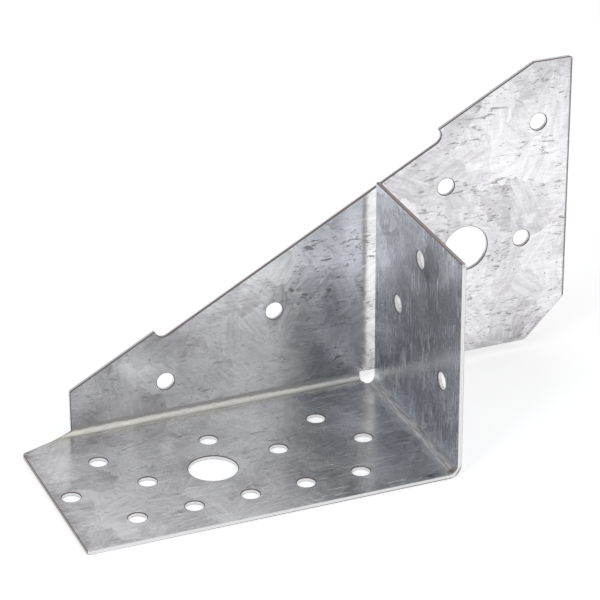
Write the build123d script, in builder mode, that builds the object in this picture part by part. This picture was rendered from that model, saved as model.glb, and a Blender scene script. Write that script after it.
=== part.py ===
from build123d import *
from math import atan, cos, degrees, pi, radians, sin, sqrt, tan
import os

os.makedirs("parts", exist_ok=True)

# Triple grip connector: one galvanised sheet folded into three leaves that are square
# to each other, so that it grips two timbers where they cross.
# Sizes are in millimetres. They are measured from the datum corner, where the planes of
# the three outer faces meet: the underside of the base leaf, the rear of the back leaf
# and the right side of the side leaf.

# The sheet and its two folds
sheet = 0.9
fold_inside = 1.9
neutral_share = 0.45

# Holes
nail_hole = 4.0
bolt_hole = 10.6

# Base leaf: lies flat and reaches left and forward from the datum corner
base_reach = 83.1
base_depth = 48.4
nail_pitch = 12.5
row_centre_left = 44.3
front_row_in = 39.5
front_row_nails = 5
rear_row_in = 14.6
rear_row_nails = 3
middle_row_in = 26.4
middle_nails_left = [13.1, 62.4]
left_nail_in = 3.8
base_bolt_left = 47.7
odd_nail_left = 31.8
odd_nail_in = 23.9

# Splayed rear end of the base leaf, which climbs the fold to the back leaf's left edge.
# That edge is set in from the base leaf's left edge.
splay_angle = 20.8
splay_climb = 61.5
left_step = 12.3

# Back leaf: upright, and runs on past the side leaf to the right
back_right = 47.4
back_height = 70.4
left_height = 11.1
crest_width = 9.4
lower_edge = 2.3
corner_cut = 9.5
back_nails = [(-48.9, 9.3), (-23.4, 21.5), (17.4, 44.1), (39.5, 56.0), (36.2, 28.3)]
back_bolt = (22.5, 28.2)

# Shallow recess in the back leaf's sloping edge
recess_start = 22.4
recess_length = 75.8
recess_depth = 2.6
recess_round = 2.0

# Side leaf: upright, square to the back leaf and free of it
side_height = 49.8
side_nails = [(16.4, 26.1), (27.6, 41.7), (39.4, 18.6)]

# Relief slot that frees the side leaf, with its round end where the two folds meet
relief_width = 4.3
relief_left = 1.45

# Small rounding on the outer corners of the outline
corner_round = 0.8

# Sizes that follow from the ones above
back_left = base_reach - left_step
fold_outside = fold_inside + sheet
fold_neutral = fold_inside + neutral_share * sheet
relief_radius = relief_width / 2
slope = (back_height - left_height) / (back_left + back_right - crest_width)
slope_angle = degrees(atan(slope))
splay_slope = tan(radians(splay_angle))
splay_at_fold = -back_left - fold_neutral * radians(splay_climb) / splay_slope
splay_in = fold_outside + (base_reach + splay_at_fold) * splay_slope
relief_mouth = sqrt(relief_radius**2 - (relief_radius - sheet) ** 2)

# The part stands on its base leaf, centred on the origin
corner_x = (base_reach - back_right) / 2
corner_y = base_depth / 2
underside = Plane(origin=(corner_x, corner_y, 0))
rear_face = Plane(origin=(corner_x, corner_y, 0), x_dir=(1, 0, 0), z_dir=(0, -1, 0))
right_face = Plane(origin=(corner_x, corner_y, 0), x_dir=(0, -1, 0), z_dir=(-1, 0, 0))
rear_fold_end = right_face.offset(fold_outside)
side_fold_end = rear_face.offset(fold_outside)

# Cutter for the splay where it crosses the rear fold. Each section stands square to the
# sheet, so the cut edge stays square to the sheet all the way up the fold.
splay_turns = [0, splay_climb / 3, 2 * splay_climb / 3, splay_climb, 90]
with BuildPart() as splay:
    for turn in splay_turns:
        climbed = min(turn, splay_climb)
        cut_to = splay_at_fold + fold_neutral * radians(climbed) / splay_slope
        across = Plane(
            origin=(corner_x, corner_y - fold_outside, fold_outside),
            x_dir=(1, 0, 0),
            z_dir=(0, cos(radians(turn)), sin(radians(turn))),
        )
        with BuildSketch(across):
            with BuildLine():
                Polyline(
                    (-base_reach - sheet, fold_inside / 2),
                    (cut_to, fold_inside / 2),
                    (cut_to, fold_outside * 1.5),
                    (-base_reach - sheet, fold_outside * 1.5),
                    close=True,
                )
            make_face()
    loft(ruled=True)

with BuildPart() as triple_grip:
    # Rear fold, between the base leaf and the back leaf
    with BuildSketch(rear_fold_end):
        with BuildLine():
            outer = CenterArc((fold_outside, fold_outside), fold_outside, 180, 90)
            inner = CenterArc((fold_outside, fold_outside), fold_inside, 180, 90)
            Line(outer @ 0, inner @ 0)
            Line(outer @ 1, inner @ 1)
        make_face()
    extrude(amount=base_reach - fold_outside)
    add(splay.part, mode=Mode.SUBTRACT)

    # Base leaf with its nail holes and bolt hole
    with BuildSketch(underside):
        with BuildLine():
            FilletPolyline(
                (-fold_outside, -base_depth),
                (-base_reach, -base_depth),
                (-base_reach, -splay_in),
                (splay_at_fold, -fold_outside),
                radius=[corner_round, corner_round],
            )
            Polyline(
                (splay_at_fold, -fold_outside),
                (-fold_outside, -fold_outside),
                (-fold_outside, -base_depth),
            )
        make_face()
        with Locations((-row_centre_left, -front_row_in)):
            with GridLocations(nail_pitch, nail_pitch, front_row_nails, 1):
                Circle(nail_hole / 2, mode=Mode.SUBTRACT)
        with Locations((-row_centre_left, -rear_row_in)):
            with GridLocations(2 * nail_pitch, nail_pitch, rear_row_nails, 1):
                Circle(nail_hole / 2, mode=Mode.SUBTRACT)
        with Locations([(-left, -middle_row_in) for left in middle_nails_left]):
            Circle(nail_hole / 2, mode=Mode.SUBTRACT)
        with Locations((-base_reach + left_nail_in, -middle_row_in)):
            Circle(nail_hole / 2, mode=Mode.SUBTRACT)
        with Locations((-odd_nail_left, -odd_nail_in)):
            Circle(nail_hole / 2, mode=Mode.SUBTRACT)
        with Locations((-base_bolt_left, -middle_row_in)):
            Circle(bolt_hole / 2, mode=Mode.SUBTRACT)
    extrude(amount=sheet)

    # Side fold, between the base leaf and the side leaf
    with BuildSketch(side_fold_end):
        with BuildLine():
            outer = CenterArc((-fold_outside, fold_outside), fold_outside, 270, 90)
            inner = CenterArc((-fold_outside, fold_outside), fold_inside, 270, 90)
            Line(outer @ 0, inner @ 0)
            Line(outer @ 1, inner @ 1)
        make_face()
    extrude(amount=base_depth - fold_outside)

    # Side leaf with its nail holes
    with BuildSketch(right_face):
        with BuildLine():
            FilletPolyline(
                (base_depth, fold_outside),
                (base_depth, side_height),
                (fold_outside, side_height),
                radius=[corner_round],
            )
            Polyline(
                (fold_outside, side_height),
                (fold_outside, fold_outside),
                (base_depth, fold_outside),
            )
        make_face()
        with Locations(side_nails):
            Circle(nail_hole / 2, mode=Mode.SUBTRACT)
    extrude(amount=sheet)

    # Relief slot: it rounds the corner between the folds and sets the side leaf's rear edge
    with BuildSketch(underside):
        with Locations((-relief_left, -relief_radius)):
            Circle(relief_radius)
        with Locations((-relief_left, -relief_radius)):
            Rectangle(fold_outside + relief_left, relief_width, align=(Align.MIN, Align.CENTER))
    extrude(amount=side_height + sheet, mode=Mode.SUBTRACT)

    # Back leaf with its recess, nail holes and bolt hole
    with BuildSketch(rear_face):
        with BuildLine():
            FilletPolyline(
                (-back_left, fold_outside),
                (-back_left, left_height),
                (back_right - crest_width, back_height),
                (back_right, back_height),
                (back_right, lower_edge + corner_cut),
                (back_right - corner_cut, lower_edge),
                (-relief_left - relief_mouth, lower_edge),
                radius=[corner_round, corner_round, corner_round, corner_round, corner_round],
            )
            Polyline(
                (-relief_left - relief_mouth, lower_edge),
                (-relief_left - relief_mouth, fold_outside),
                (-back_left, fold_outside),
            )
        make_face()
        along = recess_start + recess_length / 2
        middle_x = -back_left + along * cos(radians(slope_angle))
        middle_z = left_height + along * sin(radians(slope_angle))
        with Locations((middle_x, middle_z)):
            RectangleRounded(
                recess_length,
                2 * recess_depth,
                recess_round,
                rotation=slope_angle,
                mode=Mode.SUBTRACT,
            )
        with Locations(back_nails):
            Circle(nail_hole / 2, mode=Mode.SUBTRACT)
        with Locations(back_bolt):
            Circle(bolt_hole / 2, mode=Mode.SUBTRACT)
    extrude(amount=sheet)

triple_grip.part.label = "triple_grip"
export_step(triple_grip.part, "parts/triple_grip.step")
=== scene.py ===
import bmesh
import bpy
from math import atan2, hypot, pi, radians
from mathutils import Matrix, Vector


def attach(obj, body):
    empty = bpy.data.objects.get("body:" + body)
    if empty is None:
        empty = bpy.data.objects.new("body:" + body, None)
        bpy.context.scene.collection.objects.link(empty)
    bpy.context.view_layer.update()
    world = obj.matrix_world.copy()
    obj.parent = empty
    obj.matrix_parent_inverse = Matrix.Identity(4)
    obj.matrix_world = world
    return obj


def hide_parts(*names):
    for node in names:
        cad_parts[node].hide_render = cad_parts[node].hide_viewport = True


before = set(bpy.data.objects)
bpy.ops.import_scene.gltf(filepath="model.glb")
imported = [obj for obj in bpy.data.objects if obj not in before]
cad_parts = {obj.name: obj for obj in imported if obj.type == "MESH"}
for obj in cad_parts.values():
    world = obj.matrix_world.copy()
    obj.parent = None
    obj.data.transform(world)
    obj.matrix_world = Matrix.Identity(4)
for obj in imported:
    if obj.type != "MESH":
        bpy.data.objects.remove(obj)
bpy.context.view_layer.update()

# The photograph's view: a long lens, from the front left and about 27 degrees above the base.
scene = bpy.context.scene
scene.view_settings.view_transform = "Standard"
view_data = bpy.data.cameras.new("view")
view_data.sensor_width = 36.0
view_data.lens = 180.751
view_data.clip_end = 20.0
view = bpy.data.objects.new("view", view_data)
view_from = (-0.222022, -0.521906, 0.319093)
right = Vector((0.925361, -0.379078, -0.002513))
down = Vector((-0.172361, -0.414826, -0.893427))
ahead = Vector((0.337636, 0.827176, -0.449202))
facing_photo = Matrix((right, -down, -ahead)).transposed().to_4x4()
view.matrix_world = Matrix.Translation(view_from) @ facing_photo
scene.collection.objects.link(view)
scene.camera = view


# The folded sheet: one blank of hot-dip galvanised steel, punched flat, then folded up along
# the rear and the right. The punch rounds the face that it enters and leaves a small break on
# the other. The zinc shows spangle, the mill's rolling direction and marks from handling.

# Sizes in metres. The datum is the corner where the planes of the three outer faces meet.
datum = Vector((0.01785, 0.0242, 0.0))
sheet_thick = 0.0009
fold_outside = 0.0028
fold_neutral = 0.002305
relief_depth = 0.0043
relief_radius = relief_depth / 2
relief_centre = Vector((datum.x - 0.00145, datum.y - relief_radius))
slot_mouth = Vector((datum.x - 0.00310, datum.y - 0.0005, 0.0018))
slot_mouth_reach = 0.0010
inner_break = 0.00016
outer_break = 0.00007
slack = 0.00002

# The flat blank is laid out in units of 10 mm, with the outer face beside the inner one.
run_unit = 0.010
outer_shift = (31.7, 17.3)


def leaf_at(point):
    """Which leaf or fold holds a point, its place on the flat blank, its depth in the sheet
    and how far it is bent, from 0 on the base leaf to 1 on an upright leaf."""
    in_rear, in_right, up = datum.y - point.y, datum.x - point.x, point.z
    quarter = fold_neutral * pi / 2
    upright = quarter + up - 2 * fold_outside
    beside = in_rear > relief_depth - slack and in_right < fold_outside
    if beside and up < fold_outside:
        turn = atan2(fold_outside - in_right, fold_outside - up)
        depth = fold_outside - hypot(fold_outside - in_right, fold_outside - up)
        return "side_fold", (-fold_outside + fold_neutral * turn, -in_rear), depth, turn / (pi / 2)
    if beside:
        return "side", (upright, -in_rear), in_right, 1.0
    if in_rear < sheet_thick + slack and (up > fold_outside - slack or in_right < relief_depth):
        return "back", (-in_right, upright), in_rear, 1.0
    if in_rear < fold_outside and up < fold_outside:
        turn = atan2(fold_outside - in_rear, fold_outside - up)
        depth = fold_outside - hypot(fold_outside - in_rear, fold_outside - up)
        return "rear_fold", (-in_right, -fold_outside + fold_neutral * turn), depth, turn / (pi / 2)
    return "base", (-in_right, -in_rear), up, 0.0


# Where each kind of cut edge lies, in metres
faces_zinc, edge_punched, edge_burnished, edge_torn, edge_trimmed = range(5)
front_edge = datum.y - 0.0480
side_top = 0.0494
left_end = datum.x - 0.0827
slope_left = datum.x - 0.0708
slope_left_height = 0.0111
slope_rise = 0.5450
recess_below_slope = (-0.0045, -0.0012)
recess_reach = (datum.x - 0.0550, datum.x + 0.0205)


def edge_finish(face):
    """The front edges were sheared from inside and are burnished. The side leaf's top and the
    base leaf's left end are torn, the recess was trimmed, and the rest are plain punched."""
    middle = face.calc_center_median()
    leaf, _, _, _ = leaf_at(middle)
    if middle.y < front_edge and leaf != "back":
        return edge_burnished
    if leaf == "side" and middle.z > side_top:
        return edge_torn
    if leaf == "base" and middle.x < left_end:
        return edge_torn
    above_slope = middle.z - (slope_left_height + (middle.x - slope_left) * slope_rise)
    in_recess = recess_below_slope[0] < above_slope < recess_below_slope[1]
    if leaf == "back" and in_recess and recess_reach[0] < middle.x < recess_reach[1]:
        return edge_trimmed
    return edge_punched


def lean_slot_wall(shape):
    """Lean the relief slot's left wall: narrow at the base leaf, and full width up the fold."""
    lean, near = 0.22, 0.00003
    fold_start = datum.x - fold_outside
    for corner in shape.verts:
        out = Vector((corner.co.x - relief_centre.x, corner.co.y - relief_centre.y))
        on_wall = abs(out.length - relief_radius) < near and corner.co.x < fold_start
        if on_wall and corner.co.z < fold_outside + near:
            _, _, _, turn = leaf_at(corner.co)
            corner.co.x = min(relief_centre.x + out.x * (1.0 - lean + lean * turn), fold_start)


def break_rims(shape, rim_is_inner, size, cuts):
    """Round the rims of all cut edges on one face of the sheet, but for the slot's mouth."""
    sharp, level_within = radians(60), 0.0002
    rim = []
    for edge in shape.edges:
        if len(edge.link_faces) != 2 or edge.calc_face_angle() < sharp:
            continue
        if ((edge.verts[0].co + edge.verts[1].co) / 2 - slot_mouth).length < slot_mouth_reach:
            continue
        depths = [leaf_at(v.co)[2] for v in edge.verts]
        level = abs(depths[0] - depths[1]) < level_within
        if level and (sum(depths) / 2 > sheet_thick / 2) == rim_is_inner:
            rim.append(edge)
    bmesh.ops.bevel(
        shape, geom=rim, offset=size, offset_type="OFFSET", affect="EDGES",
        segments=cuts, profile=0.5, material=-1, clamp_overlap=False,
    )


def mark_places(shape):
    """Write to the mesh where each point lies on the blank, and which finish each face has.
    A cut face has a point inside the sheet, or spans much of its thickness."""
    skin, much = 0.02, 0.45
    run = shape.loops.layers.uv.new("sheet_run")
    depth_in = shape.verts.layers.float.new("depth_in")
    bent = shape.verts.layers.float.new("bent")
    for corner in shape.verts:
        _, _, depth, turn = leaf_at(corner.co)
        corner[depth_in] = depth / sheet_thick
        corner[bent] = turn
    for face in shape.faces:
        face.smooth = True
        depths = [corner[depth_in] for corner in face.verts]
        inside = any(skin < depth < 1.0 - skin for depth in depths)
        is_cut = inside or max(depths) - min(depths) > much
        face.material_index = edge_finish(face) if is_cut else faces_zinc
        shift = outer_shift if sum(depths) / len(depths) < 0.5 else (0.0, 0.0)
        for loop in face.loops:
            _, place, _, _ = leaf_at(loop.vert.co)
            loop[run].uv = (place[0] / run_unit + shift[0], place[1] / run_unit + shift[1])


def folded_sheet():
    """The folded sheet with its triangles joined and its cut edges broken."""
    same_point, speck, flat_within = 0.000001, 0.000005, radians(0.4)
    shape = bmesh.new()
    shape.from_mesh(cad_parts["triple_grip"].data)
    bmesh.ops.remove_doubles(shape, verts=shape.verts, dist=same_point)
    bmesh.ops.dissolve_limit(
        shape, angle_limit=flat_within, use_dissolve_boundaries=False,
        verts=shape.verts, edges=shape.edges,
    )
    lean_slot_wall(shape)
    break_rims(shape, True, inner_break, 3)
    break_rims(shape, False, outer_break, 1)
    bmesh.ops.dissolve_degenerate(shape, dist=speck, edges=shape.edges)
    mark_places(shape)
    mesh = bpy.data.meshes.new("triple_grip_sheet")
    shape.to_mesh(mesh)
    shape.free()
    piece = bpy.data.objects.new("triple_grip_sheet", mesh)
    scene.collection.objects.link(piece)
    weigh = piece.modifiers.new("even_shading", "WEIGHTED_NORMAL")
    weigh.mode = "FACE_AREA"
    weigh.weight = 90
    return piece


class Finish:
    """A painter's bench for one material or for the surround. Each step is a node, fed by
    plain values or by earlier steps."""

    def __init__(self, owner):
        owner.use_nodes = True
        self.owner = owner
        self.tree = owner.node_tree

    def feed(self, node, feeds):
        for socket, value in feeds.items():
            if isinstance(value, bpy.types.NodeSocket):
                self.tree.links.new(value, node.inputs[socket])
            else:
                node.inputs[socket].default_value = value

    def step(self, kind, feeds, **settings):
        made = self.tree.nodes.new(kind)
        for key, value in settings.items():
            setattr(made, key, value)
        self.feed(made, feeds)
        return made

    def shader(self, feeds):
        """Feed the material's own shader."""
        node = self.tree.nodes["Principled BSDF"]
        self.feed(node, feeds)
        return node.outputs[0]

    def sum(self, how, first, second=0.0, third=0.0):
        made = self.step("ShaderNodeMath", {0: first, 1: second, 2: third}, operation=how)
        return made.outputs[0]

    def times(self, first, *others):
        for other in others:
            first = self.sum("MULTIPLY", first, other)
        return first

    def plus(self, base, share, value):
        """The base with a share of the value added to it."""
        return self.sum("MULTIPLY_ADD", value, share, base)

    def fade(self, value, low, high, to_low=0.0, to_high=1.0):
        """A soft step between two values. It falls where low is above high."""
        made = self.step(
            "ShaderNodeMapRange",
            {"Value": value, "From Min": low, "From Max": high, "To Min": to_low, "To Max": to_high},
            interpolation_type="SMOOTHSTEP",
        )
        return made.outputs["Result"]

    def stretch(self, place, lengthwise, crosswise, turn=0.0, shift=(0.0, 0.0)):
        made = self.step(
            "ShaderNodeMapping",
            {"Vector": place, "Scale": (lengthwise, crosswise, 1.0),
             "Rotation": (0.0, 0.0, radians(turn)), "Location": (*shift, 0.0)},
        )
        return made.outputs["Vector"]

    def noise(self, place, size, detail, rough, twist):
        return self.step(
            "ShaderNodeTexNoise",
            {"Vector": place, "Scale": size, "Detail": detail, "Roughness": rough, "Distortion": twist},
            noise_dimensions="2D",
        )

    def cloud(self, place, size, detail=3.0, rough=0.5, twist=0.0):
        """Soft random patches, from 0 to 1."""
        return self.noise(place, size, detail, rough, twist).outputs["Fac"]

    def cells(self, place, size):
        """Irregular cells: how far a point is from its cell's middle, and three values that its
        cell holds."""
        made = self.step(
            "ShaderNodeTexVoronoi", {"Vector": place, "Scale": size},
            voronoi_dimensions="2D", feature="F1",
        )
        picks = self.step("ShaderNodeSeparateColor", {"Color": made.outputs["Color"]}).outputs
        return made.outputs["Distance"], picks

    def turned(self, place, share):
        """A place turned about the blank's own axis by a share of a full turn."""
        return self.step(
            "ShaderNodeVectorRotate",
            {"Vector": place, "Angle": self.times(share, 2 * pi)},
            rotation_type="Z_AXIS",
        ).outputs["Vector"]

    def strokes(self, place, ways, grain, rough, patch, patch_range):
        """Straight strokes at several angles, each kept to patches of its own."""
        found = None
        for angle, shift, low, high in ways:
            line = self.cloud(self.stretch(place, *grain, angle, shift), 1.0, 2.0, rough)
            spot = self.cloud(self.stretch(place, *patch, angle, (shift[1], shift[0])), 1.0, 2.0)
            mark = self.times(self.fade(line, low, high), self.fade(spot, *patch_range))
            found = mark if found is None else self.sum("MAXIMUM", found, mark)
        return found

    def grey(self, tone):
        return self.step("ShaderNodeCombineColor", {0: tone, 1: tone, 2: tone}).outputs["Color"]

    def tint(self, share, under, over, how="MIX"):
        under, over = (
            part if isinstance(part, bpy.types.NodeSocket) else (*part, 1.0) for part in (under, over)
        )
        made = self.step(
            "ShaderNodeMix", {"Factor": share, 6: under, 7: over}, data_type="RGBA", blend_type=how,
        )
        return made.outputs[2]

    def bands(self, level, stops):
        """Colours in bands by level, each stop given as its level and its colour."""
        made = self.step("ShaderNodeValToRGB", {"Fac": level})
        ramp = made.color_ramp
        while len(ramp.elements) < len(stops):
            ramp.elements.new(0.5)
        for stop, (at, shade) in zip(ramp.elements, stops):
            stop.position = at
            stop.color = (*shade, 1.0)
        return made.outputs["Color"]


class Blank:
    """Where a point lies on the blank: along the rear fold, falling to the left of the datum,
    and across it, falling to the front, in units of 10 mm, with masks of the faces and leaves."""

    def __init__(self, paint):
        self.run = paint.step("ShaderNodeUVMap", {}, uv_map="sheet_run").outputs["UV"]
        self.bent = paint.step("ShaderNodeAttribute", {}, attribute_name="bent").outputs["Fac"]
        laid = paint.step("ShaderNodeSeparateXYZ", {"Vector": self.run}).outputs
        outer = paint.fade(laid[0], 14.0, 16.0)
        self.inner = paint.sum("SUBTRACT", 1.0, outer)
        self.along = paint.plus(laid[0], -outer_shift[0], outer)
        self.across = paint.plus(laid[1], -outer_shift[1], outer)
        upright = paint.fade(self.bent, 0.4, 0.9)
        self.on_side = paint.times(paint.fade(self.across, -0.36, -0.42), upright)
        self.on_back = paint.times(paint.fade(self.across, -0.10, 0.10), upright)
        self.off_back = paint.sum("SUBTRACT", 1.0, self.on_back)
        self.beyond_side = paint.times(self.on_back, paint.fade(self.along, 0.0, 0.4))
        rearward = paint.fade(self.across, -0.50, -0.24)
        self.rearward = paint.times(self.inner, rearward)
        self.forward = paint.times(self.inner, paint.sum("SUBTRACT", 1.0, rearward))
        folding = paint.times(paint.fade(self.bent, 0.02, 0.25), paint.fade(self.bent, 0.98, 0.75))
        self.in_fold = paint.times(folding, self.inner)


def fleck_map(zinc, at):
    """Dark flecks drawn out along the rolling direction, in clusters."""
    large = zinc.cloud(zinc.stretch(at.run, 2.3, 7.5, 5.0), 1.0, 5.0, 0.66, 0.6)
    small = zinc.cloud(zinc.stretch(at.run, 5.5, 17.0, 3.0, (6.3, 2.2)), 1.0, 4.0, 0.62, 0.4)
    where = zinc.cloud(zinc.stretch(at.run, 0.9, 1.3, 0.0, (3.1, 8.4)), 1.0, 3.0, 0.55)
    large = zinc.times(zinc.fade(large, 0.585, 0.67), zinc.fade(where, 0.45, 0.60))
    small = zinc.times(zinc.fade(small, 0.60, 0.70), zinc.fade(where, 0.38, 0.58))
    by_strip = zinc.times(at.on_back, zinc.fade(at.along, -3.0, -0.6))
    return zinc.times(
        zinc.sum("MAXIMUM", large, small), zinc.plus(0.34, 0.66, by_strip),
        zinc.plus(1.0, -0.28, at.beyond_side),
    )


def drawn_map(zinc, at):
    """Fine pale lines along the rolling direction, most of them on the side leaf."""
    lines = zinc.cloud(zinc.stretch(at.run, 1.6, 24.0, -3.0, (1.0, 4.0)), 1.0, 4.0, 0.62, 0.3)
    return zinc.times(
        zinc.fade(lines, 0.55, 0.66), zinc.fade(zinc.cloud(at.run, 0.9, 3.0), 0.44, 0.60),
        zinc.plus(0.25, 0.34, at.on_side),
    )


def scuff_map(zinc, at, swayed):
    """Short pale scuffs that turn from patch to patch."""
    _, patch = zinc.cells(swayed, 0.95)
    lines = zinc.cloud(zinc.stretch(zinc.turned(at.run, patch[0]), 2.6, 22.0), 1.0, 3.0, 0.55, 0.2)
    return zinc.times(
        zinc.fade(lines, 0.60, 0.72), zinc.fade(zinc.cloud(at.run, 1.7, 2.0), 0.50, 0.62),
        zinc.plus(0.45, 0.55, at.off_back),
    )


def scratch_map(zinc, at):
    """Long pale scratches from handling."""
    ways = ((12.0, (2.0, 5.0), 0.63, 0.70), (64.0, (7.0, 1.0), 0.64, 0.71), (-38.0, (4.0, 9.0), 0.64, 0.71))
    lines = zinc.strokes(at.run, ways, (0.9, 30.0), 0.5, (1.4, 1.4), (0.54, 0.64))
    return zinc.times(lines, zinc.plus(0.5, 1.6, at.off_back))


def gouge_map(zinc, at):
    """Broad rubbed strokes low on the side leaf."""
    ways = ((4.0, (5.0, 3.0), 0.60, 0.66), (-24.0, (9.0, 2.0), 0.60, 0.66))
    lines = zinc.strokes(at.run, ways, (1.1, 15.0), 0.55, (1.3, 2.2), (0.47, 0.56))
    return zinc.times(lines, at.on_side, zinc.fade(at.along, 3.4, 2.2))


def pit_map(zinc, at):
    """Small dark pits, few and far between."""
    away, pick = zinc.cells(at.run, 2.2)
    return zinc.times(zinc.fade(away, 0.05, 0.025), zinc.fade(pick[2], 0.80, 0.86))


def tone_and_light_zones(zinc, at):
    """Parts of the leaves that are lighter or darker than the rest, each with its change of tone. Some of
    them are painted light and shade, as marked below.
    """
    left_of_strip = zinc.fade(at.along, -0.55, -0.95)
    far_left = zinc.fade(at.along, -3.8, -4.8)
    flat = zinc.fade(at.bent, 0.1, 0.0)
    return (
        # side leaf: painted shade over its top, and lighter along its front edge
        (-0.13, (at.on_side, zinc.fade(at.along, 2.2, 4.2))),
        (0.09, (at.on_side, zinc.fade(at.across, -3.3, -4.2), zinc.fade(at.along, 1.2, 2.2))),
        # back leaf: painted shade over its top left of the strip and over the crest, and darker at the far
        # left and the upper left
        (-0.09, (at.on_back, left_of_strip, zinc.fade(at.across, 2.7, 3.6), zinc.fade(at.along, -2.2, -1.5))),
        (-0.06, (at.on_back, zinc.fade(at.across, 5.2, 6.0))),
        (-0.055, (at.on_back, far_left)),
        (-0.10, (at.on_back, left_of_strip, zinc.fade(at.across, 1.8, 3.8))),
        # back leaf: darker at the lower left, a painted strip of light above the slot, a little lighter
        # beyond the side leaf, and painted shade in the corner by the bend
        (-0.07, (at.on_back, zinc.fade(at.across, 2.9, 2.3), zinc.fade(at.along, -0.55, -0.85),
                 zinc.fade(at.along, -2.25, -2.0))),
        # painted light: the bright strip where light comes past the side leaf's rear edge
        (0.08, (at.on_back, zinc.fade(at.along, -0.95, -0.55), zinc.fade(at.along, 0.2, 0.0))),
        (0.02, (at.beyond_side,)),
        # painted shade: the corner above the rear fold, beside the side leaf
        (-0.22, (at.on_back, zinc.fade(at.across, 0.70, 0.05), zinc.fade(at.along, -2.6, -0.5))),
        # base leaf: the rear left, all of it a little, and its left end
        (-0.06, (at.off_back, far_left, zinc.fade(at.across, -1.3, -0.9))),
        (0.03, (at.off_back, flat)),
        (-0.16, (at.off_back, zinc.fade(at.along, -8.00, -8.25))),
    )


# The rear fold's colours, from the base leaf at 0 to the back leaf at 1: a painted cream highlight with a
# painted dark line above it
rear_fold_painted_light = (
    (0.00, (0.62, 0.62, 0.58)), (0.22, (0.57, 0.57, 0.53)), (0.38, (0.68, 0.67, 0.62)),
    (0.54, (0.91, 0.895, 0.835)), (0.63, (0.84, 0.80, 0.74)), (0.70, (0.46, 0.40, 0.38)),
    (0.80, (0.60, 0.58, 0.56)), (1.00, (0.66, 0.66, 0.66)),
)


def fold_colours(zinc, at, ragged, colour):
    """The zinc is stretched over the folds: ragged and finely crazed, warmer in tone on the rear fold, where
    its cream band is a painted highlight with a painted dark line above it and painted shade to its right. On
    the base, a ragged olive tint before the rear fold is a painted reflection, and a pale patch beside the
    side fold is a painted highlight.
    """
    # painted reflection: a ragged olive tint on the base before the rear fold
    olive_reflection = zinc.times(
        zinc.fade(at.across, -0.62, -0.26), zinc.fade(at.bent, 0.9, 0.5), at.inner,
        zinc.fade(ragged, 0.20, 0.62),
    )
    colour = zinc.tint(zinc.times(olive_reflection, 0.42), colour, (0.60, 0.60, 0.52))

    frayed = zinc.cloud(zinc.stretch(at.run, 7.0, 4.0), 1.0, 4.0, 0.7)
    level = zinc.plus(zinc.sum("SUBTRACT", at.bent, 0.26), 0.26, ragged)
    level = zinc.plus(level, 0.26, frayed)
    level = zinc.plus(level, 0.09, zinc.fade(at.along, -3.6, -0.9))
    # painted shade: the rear fold darker towards the side leaf
    rear_fold_shade_right = zinc.grey(zinc.fade(at.along, -3.2, -0.9, 1.05, 0.86))
    rear_fold_painted_colour = zinc.tint(1.0, zinc.bands(level, rear_fold_painted_light), rear_fold_shade_right, "MULTIPLY")
    rear_fold = zinc.times(at.rearward, zinc.fade(at.bent, 0.0, 0.10), zinc.fade(at.bent, 1.0, 0.94))
    colour = zinc.tint(zinc.times(rear_fold, 0.80), colour, rear_fold_painted_colour)

    crazing = zinc.cloud(zinc.stretch(at.run, 16.0, 1.6), 1.0, 5.0, 0.68)
    crazed = zinc.grey(zinc.fade(crazing, 0.40, 0.60, 0.46, 0.98))
    crazed = zinc.tint(1.0, crazed, (1.0, 0.965, 0.97), "MULTIPLY")
    colour = zinc.tint(zinc.times(at.in_fold, at.forward, 0.75), colour, crazed)
    # painted highlight: a pale patch on the base beside the side fold, broken by the crazing
    side_fold_highlight = zinc.times(
        zinc.fade(at.along, -0.42, -0.31), zinc.fade(at.bent, 0.60, 0.30), at.forward,
        zinc.fade(crazing, 0.36, 0.58, 0.35, 1.0),
    )
    return zinc.tint(zinc.times(side_fold_highlight, 0.32), colour, (0.95, 0.94, 0.94))


# Where the side fold meets the front edge, in metres
stain_middle = (0.0160, -0.0232, 0.0011)
stain_reach = (0.0034, 0.0018)


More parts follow.
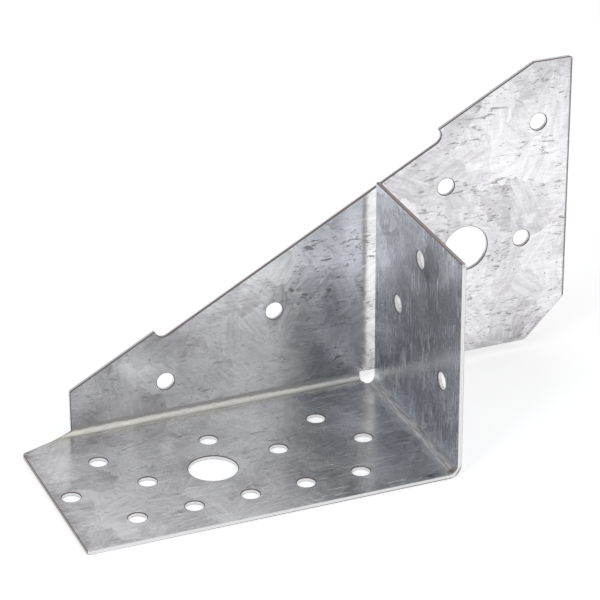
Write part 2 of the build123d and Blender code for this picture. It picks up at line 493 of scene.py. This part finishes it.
def zinc_coat():
    """The galvanised faces: frosted spangle, rolling lines, flecks, pale marks, pits and a stain, with
    painted light and shade in some zones, over the folds and along one edge.
    """
    zinc = Finish(bpy.data.materials.new("galvanised_sheet"))
    at = Blank(zinc)
    place = zinc.step("ShaderNodeTexCoord", {}).outputs["Object"]

    # spangle: crystals about 6 mm across, each frosted in its own direction, some of them dull
    sway = zinc.noise(at.run, 1.3, 3.0, 0.6, 0.0).outputs["Color"]
    swayed = zinc.step(
        "ShaderNodeVectorMath", {0: sway, 1: (0.6, 0.6, 0.0), 2: at.run}, operation="MULTIPLY_ADD",
    ).outputs["Vector"]
    _, crystal = zinc.cells(swayed, 1.35)
    frost = zinc.cloud(zinc.stretch(zinc.turned(at.run, crystal[0]), 1.7, 8.5), 1.0, 5.0, 0.62, 0.12)
    dull = zinc.times(
        zinc.fade(crystal[2], 0.60, 0.74), zinc.fade(zinc.cloud(at.run, 3.0, 4.0, 0.65), 0.34, 0.56),
    )

    # the mill's rolling lines, broad uneven patches, and the marks
    rolled = zinc.cloud(zinc.stretch(at.run, 0.35, 16.0), 1.0, 4.0, 0.6)
    patchy = zinc.cloud(at.run, 0.42, 3.0, 0.55)
    ragged = zinc.cloud(zinc.stretch(at.run, 2.2, 2.2), 1.0, 5.0, 0.75)
    flecks = fleck_map(zinc, at)
    scratches = scratch_map(zinc, at)
    scuffs = scuff_map(zinc, at, swayed)
    gouge = gouge_map(zinc, at)

    # the tone: the middle grey, and what each of these adds to it
    middle_grey, darkest, lightest = 0.735, 0.16, 0.93
    tone = zinc.plus(middle_grey, 0.17, zinc.sum("SUBTRACT", crystal[1], 0.5))
    for pattern, share in (
        (frost, zinc.plus(0.48, -0.20, at.on_side)),
        (rolled, zinc.plus(0.14, -0.06, at.on_side)),
        (patchy, zinc.plus(0.24, 0.22, at.off_back)),
    ):
        tone = zinc.plus(tone, share, zinc.sum("SUBTRACT", pattern, 0.5))
    tone = zinc.plus(tone, -0.11, dull)
    # tone zones, some of them painted light and shade
    for change, zone in tone_and_light_zones(zinc, at):
        tone = zinc.plus(tone, change, zinc.times(*zone))
    for change, mark in (
        (-0.46, flecks), (0.20, scratches), (0.26, scuffs), (0.17, drawn_map(zinc, at)), (0.34, gouge),
        (-0.40, pit_map(zinc, at)),
    ):
        tone = zinc.plus(tone, change, mark)
    tone = zinc.sum("MINIMUM", zinc.sum("MAXIMUM", tone, darkest), lightest)

    # the colour: bluish grey, bluer on the side leaf, a touch warmer beyond it
    colour = zinc.tint(1.0, zinc.grey(tone), (0.985, 0.985, 1.005), "MULTIPLY")
    colour = zinc.tint(at.on_side, colour, (0.955, 0.985, 1.035), "MULTIPLY")
    colour = zinc.tint(at.beyond_side, colour, (1.0, 0.985, 0.985), "MULTIPLY")
    colour = zinc.tint(dull, colour, (0.995, 0.985, 1.0), "MULTIPLY")
    colour = zinc.tint(zinc.times(flecks, 0.45), colour, (0.26, 0.235, 0.225))
    colour = fold_colours(zinc, at, ragged, colour)

    # painted shade: a thin dark line down the back leaf's right edge, where its sheared rim rolls over
    rim = zinc.times(at.on_back, zinc.fade(zinc.plus(at.along, 0.02, ragged), 4.69, 4.72))
    colour = zinc.tint(zinc.times(rim, 0.85), colour, (0.16, 0.13, 0.125))

    # brown water stain where the side fold meets the front edge, and dark marks beside it
    away = zinc.step("ShaderNodeVectorMath", {0: place, 1: stain_middle}, operation="DISTANCE")
    stain = zinc.fade(zinc.plus(away.outputs["Value"], 0.0030, ragged), *stain_reach)
    colour = zinc.tint(zinc.times(stain, 0.85), colour, (0.17, 0.11, 0.08))
    spot = zinc.step("ShaderNodeSeparateXYZ", {"Vector": place}).outputs
    broken = zinc.cloud(zinc.stretch(at.run, 10.0, 13.0, 20.0), 1.0, 4.0, 0.7)
    grime = zinc.times(
        zinc.fade(spot[0], 0.0088, 0.0100), zinc.fade(spot[0], 0.0138, 0.0126),
        zinc.fade(spot[1], -0.0219, -0.0226), zinc.fade(spot[1], -0.0236, -0.0231),
        at.inner, zinc.fade(at.bent, 0.2, 0.0), zinc.fade(broken, 0.42, 0.52),
    )
    colour = zinc.tint(zinc.times(grime, 0.85), colour, (0.10, 0.09, 0.08))

    # relief: the frost, the rolling lines and a slow waviness of the sheet
    lift = zinc.plus(zinc.times(rolled, 0.20), 0.5, frost)
    lift = zinc.plus(lift, 2.2, zinc.cloud(at.run, 0.8, 2.0))
    bump = zinc.step("ShaderNodeBump", {"Strength": 0.35, "Distance": 0.00012, "Height": lift})

    # roughness: smooth zinc, rougher where it is marked, folded or stained
    smooth = 0.215
    pressed = zinc.times(zinc.fade(at.along, -0.40, -0.31), zinc.fade(at.bent, 0.65, 0.35), at.forward)
    pale_marks = zinc.sum("MAXIMUM", zinc.sum("MAXIMUM", scratches, gouge), zinc.times(scuffs, 0.6))
    low_side = zinc.times(at.on_side, zinc.fade(at.along, 2.1, 1.3))
    rough = zinc.plus(smooth, 0.16, zinc.sum("SUBTRACT", frost, 0.5))
    for change, zone in (
        (0.18, flecks), (0.15, pale_marks), (0.22, at.in_fold), (0.13, pressed), (0.30, stain),
        (0.05, low_side),
    ):
        rough = zinc.plus(rough, change, zone)
    zinc.shader({
        "Base Color": colour, "Roughness": rough, "Normal": bump.outputs["Normal"],
        "Metallic": zinc.plus(0.93, -0.75, stain),
    })
    return zinc.owner


def cut_edge(name, stops, metal, rough, wander):
    """A cut edge, coloured in bands from its outer rim at 0 to its inner rim at 1. The dark brown bands at
    the rims are painted shade of the rounded rims over the brown of the bare cut steel.
    """
    edge = Finish(bpy.data.materials.new(name))
    run = edge.step("ShaderNodeUVMap", {}, uv_map="sheet_run").outputs["UV"]
    depth = edge.step("ShaderNodeAttribute", {}, attribute_name="depth_in").outputs["Fac"]
    uneven = edge.sum("SUBTRACT", edge.cloud(run, 3.0, 4.0, 0.6), 0.5)
    colour = edge.bands(edge.plus(depth, wander, uneven), stops)
    edge.shader({"Base Color": colour, "Metallic": metal, "Roughness": rough})
    return edge.owner


# the dark bands at the rims are partly painted shade of the rounded rims
punched_bands = (
    (0.00, (0.30, 0.25, 0.24)), (0.08, (0.42, 0.38, 0.36)), (0.16, (0.72, 0.71, 0.71)),
    (0.45, (0.78, 0.78, 0.79)), (0.76, (0.80, 0.80, 0.81)), (0.82, (0.20, 0.14, 0.13)),
    (1.00, (0.16, 0.11, 0.10)),
)
burnished_bands = (
    (0.00, (0.34, 0.29, 0.28)), (0.10, (0.40, 0.35, 0.34)), (0.17, (0.84, 0.83, 0.84)),
    (0.46, (0.86, 0.86, 0.87)), (0.51, (0.46, 0.43, 0.42)), (0.57, (0.82, 0.81, 0.80)),
    (0.84, (0.88, 0.88, 0.88)), (1.00, (0.80, 0.80, 0.79)),
)
torn_bands = (
    (0.00, (0.36, 0.30, 0.29)), (0.22, (0.46, 0.40, 0.39)), (0.34, (0.32, 0.26, 0.25)),
    (0.46, (0.50, 0.45, 0.44)), (0.74, (0.46, 0.40, 0.39)), (0.84, (0.27, 0.21, 0.20)),
    (1.00, (0.24, 0.18, 0.17)),
)
trimmed_bands = (
    (0.00, (0.60, 0.56, 0.55)), (0.10, (0.80, 0.79, 0.79)), (0.44, (0.78, 0.77, 0.77)),
    (0.58, (0.50, 0.46, 0.45)), (0.70, (0.26, 0.21, 0.20)), (1.00, (0.20, 0.15, 0.14)),
)
sheet = folded_sheet()
sheet.data.materials.append(zinc_coat())
sheet.data.materials.append(cut_edge("punched_edge", punched_bands, metal=0.70, rough=0.38, wander=0.10))
sheet.data.materials.append(cut_edge("burnished_edge", burnished_bands, metal=0.70, rough=0.34, wander=0.10))
sheet.data.materials.append(cut_edge("torn_edge", torn_bands, metal=0.55, rough=0.50, wander=0.14))
sheet.data.materials.append(cut_edge("trimmed_edge", trimmed_bands, metal=0.60, rough=0.45, wander=0.14))
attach(sheet, "root")
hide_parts("triple_grip")


# The studio floor: a plain white sheet that keeps the part's shadow. It glows a little where the
# camera and the zinc's reflections see it, so that it stays white around the shadow.
def floor_sweep():
    glow_seen, glow_mirrored, floor_reach = 0.43, 0.53, 4.0
    ground = bmesh.new()
    bmesh.ops.create_grid(ground, x_segments=1, y_segments=1, size=floor_reach)
    mesh = bpy.data.meshes.new("floor")
    ground.to_mesh(mesh)
    ground.free()
    floor = bpy.data.objects.new("floor", mesh)
    scene.collection.objects.link(floor)
    pale = Finish(bpy.data.materials.new("pale_floor"))
    seen = pale.step("ShaderNodeLightPath", {}).outputs
    bright = pale.plus(pale.times(seen["Is Glossy Ray"], glow_mirrored), glow_seen, seen["Is Camera Ray"])
    glow = pale.step("ShaderNodeEmission", {"Color": (1.0, 1.0, 1.0, 1.0), "Strength": bright})
    chalk = pale.shader({"Base Color": (0.86, 0.86, 0.86, 1.0), "Roughness": 1.0, "Specular IOR Level": 0.0})
    both = pale.step("ShaderNodeAddShader", {0: chalk, 1: glow.outputs[0]})
    pale.feed(pale.tree.nodes["Material Output"], {"Surface": both.outputs[0]})
    mesh.materials.append(pale.owner)
    return floor


floor_sweep()


# The studio light: four softboxes, all aimed at the middle of the part, and a white surround
# that is brighter to the right and to the rear in what the zinc reflects.
def soft_lamp(name, bearing, height, side, power, colour=(1.0, 1.0, 1.0)):
    """A square softbox at a bearing in degrees from the front, turning right, and a height in degrees."""
    aim, away = Vector((0.0, 0.0, 0.02)), 1.2
    swing = Matrix.Rotation(radians(bearing), 3, "Z") @ Matrix.Rotation(radians(-height), 3, "X")
    spot = swing @ Vector((0.0, -away, 0.0))
    lamp = bpy.data.lights.new(name, "AREA")
    lamp.shape = "RECTANGLE"
    lamp.size = lamp.size_y = side
    lamp.energy = power
    lamp.color = colour
    holder = bpy.data.objects.new(name, lamp)
    holder.location = aim + spot
    holder.rotation_euler = (-spot).to_track_quat("-Z", "Y").to_euler()
    scene.collection.objects.link(holder)


soft_lamp("lamp_right", bearing=56, height=40, side=0.20, power=0.8)
soft_lamp("lamp_front", bearing=24, height=29, side=0.45, power=0.27)
soft_lamp("lamp_left", bearing=-60, height=35, side=0.5, power=3.7, colour=(0.86, 0.94, 1.0))
soft_lamp("lamp_above", bearing=0, height=80, side=0.7, power=1.75)

surround_rear, surround_right, surround_above = 0.38, 0.72, 0.35
scene.world = bpy.data.worlds.new("studio")
air = Finish(scene.world)
facing = air.step("ShaderNodeTexCoord", {}).outputs["Generated"]
way = air.step("ShaderNodeSeparateXYZ", {"Vector": facing}).outputs
surround = air.times(air.sum("MAXIMUM", way[1], 0.0), surround_rear)
surround = air.plus(surround, surround_right, air.sum("MAXIMUM", way[0], 0.0))
surround = air.plus(surround, surround_above, air.sum("MAXIMUM", way[2], 0.0))
seen = air.step("ShaderNodeLightPath", {}).outputs["Is Camera Ray"]
strength = air.step("ShaderNodeMix", {0: seen, 2: surround, 3: 1.0}, data_type="FLOAT").outputs[0]
air.feed(air.tree.nodes["Background"], {"Color": (1.0, 1.0, 1.0, 1.0), "Strength": strength})
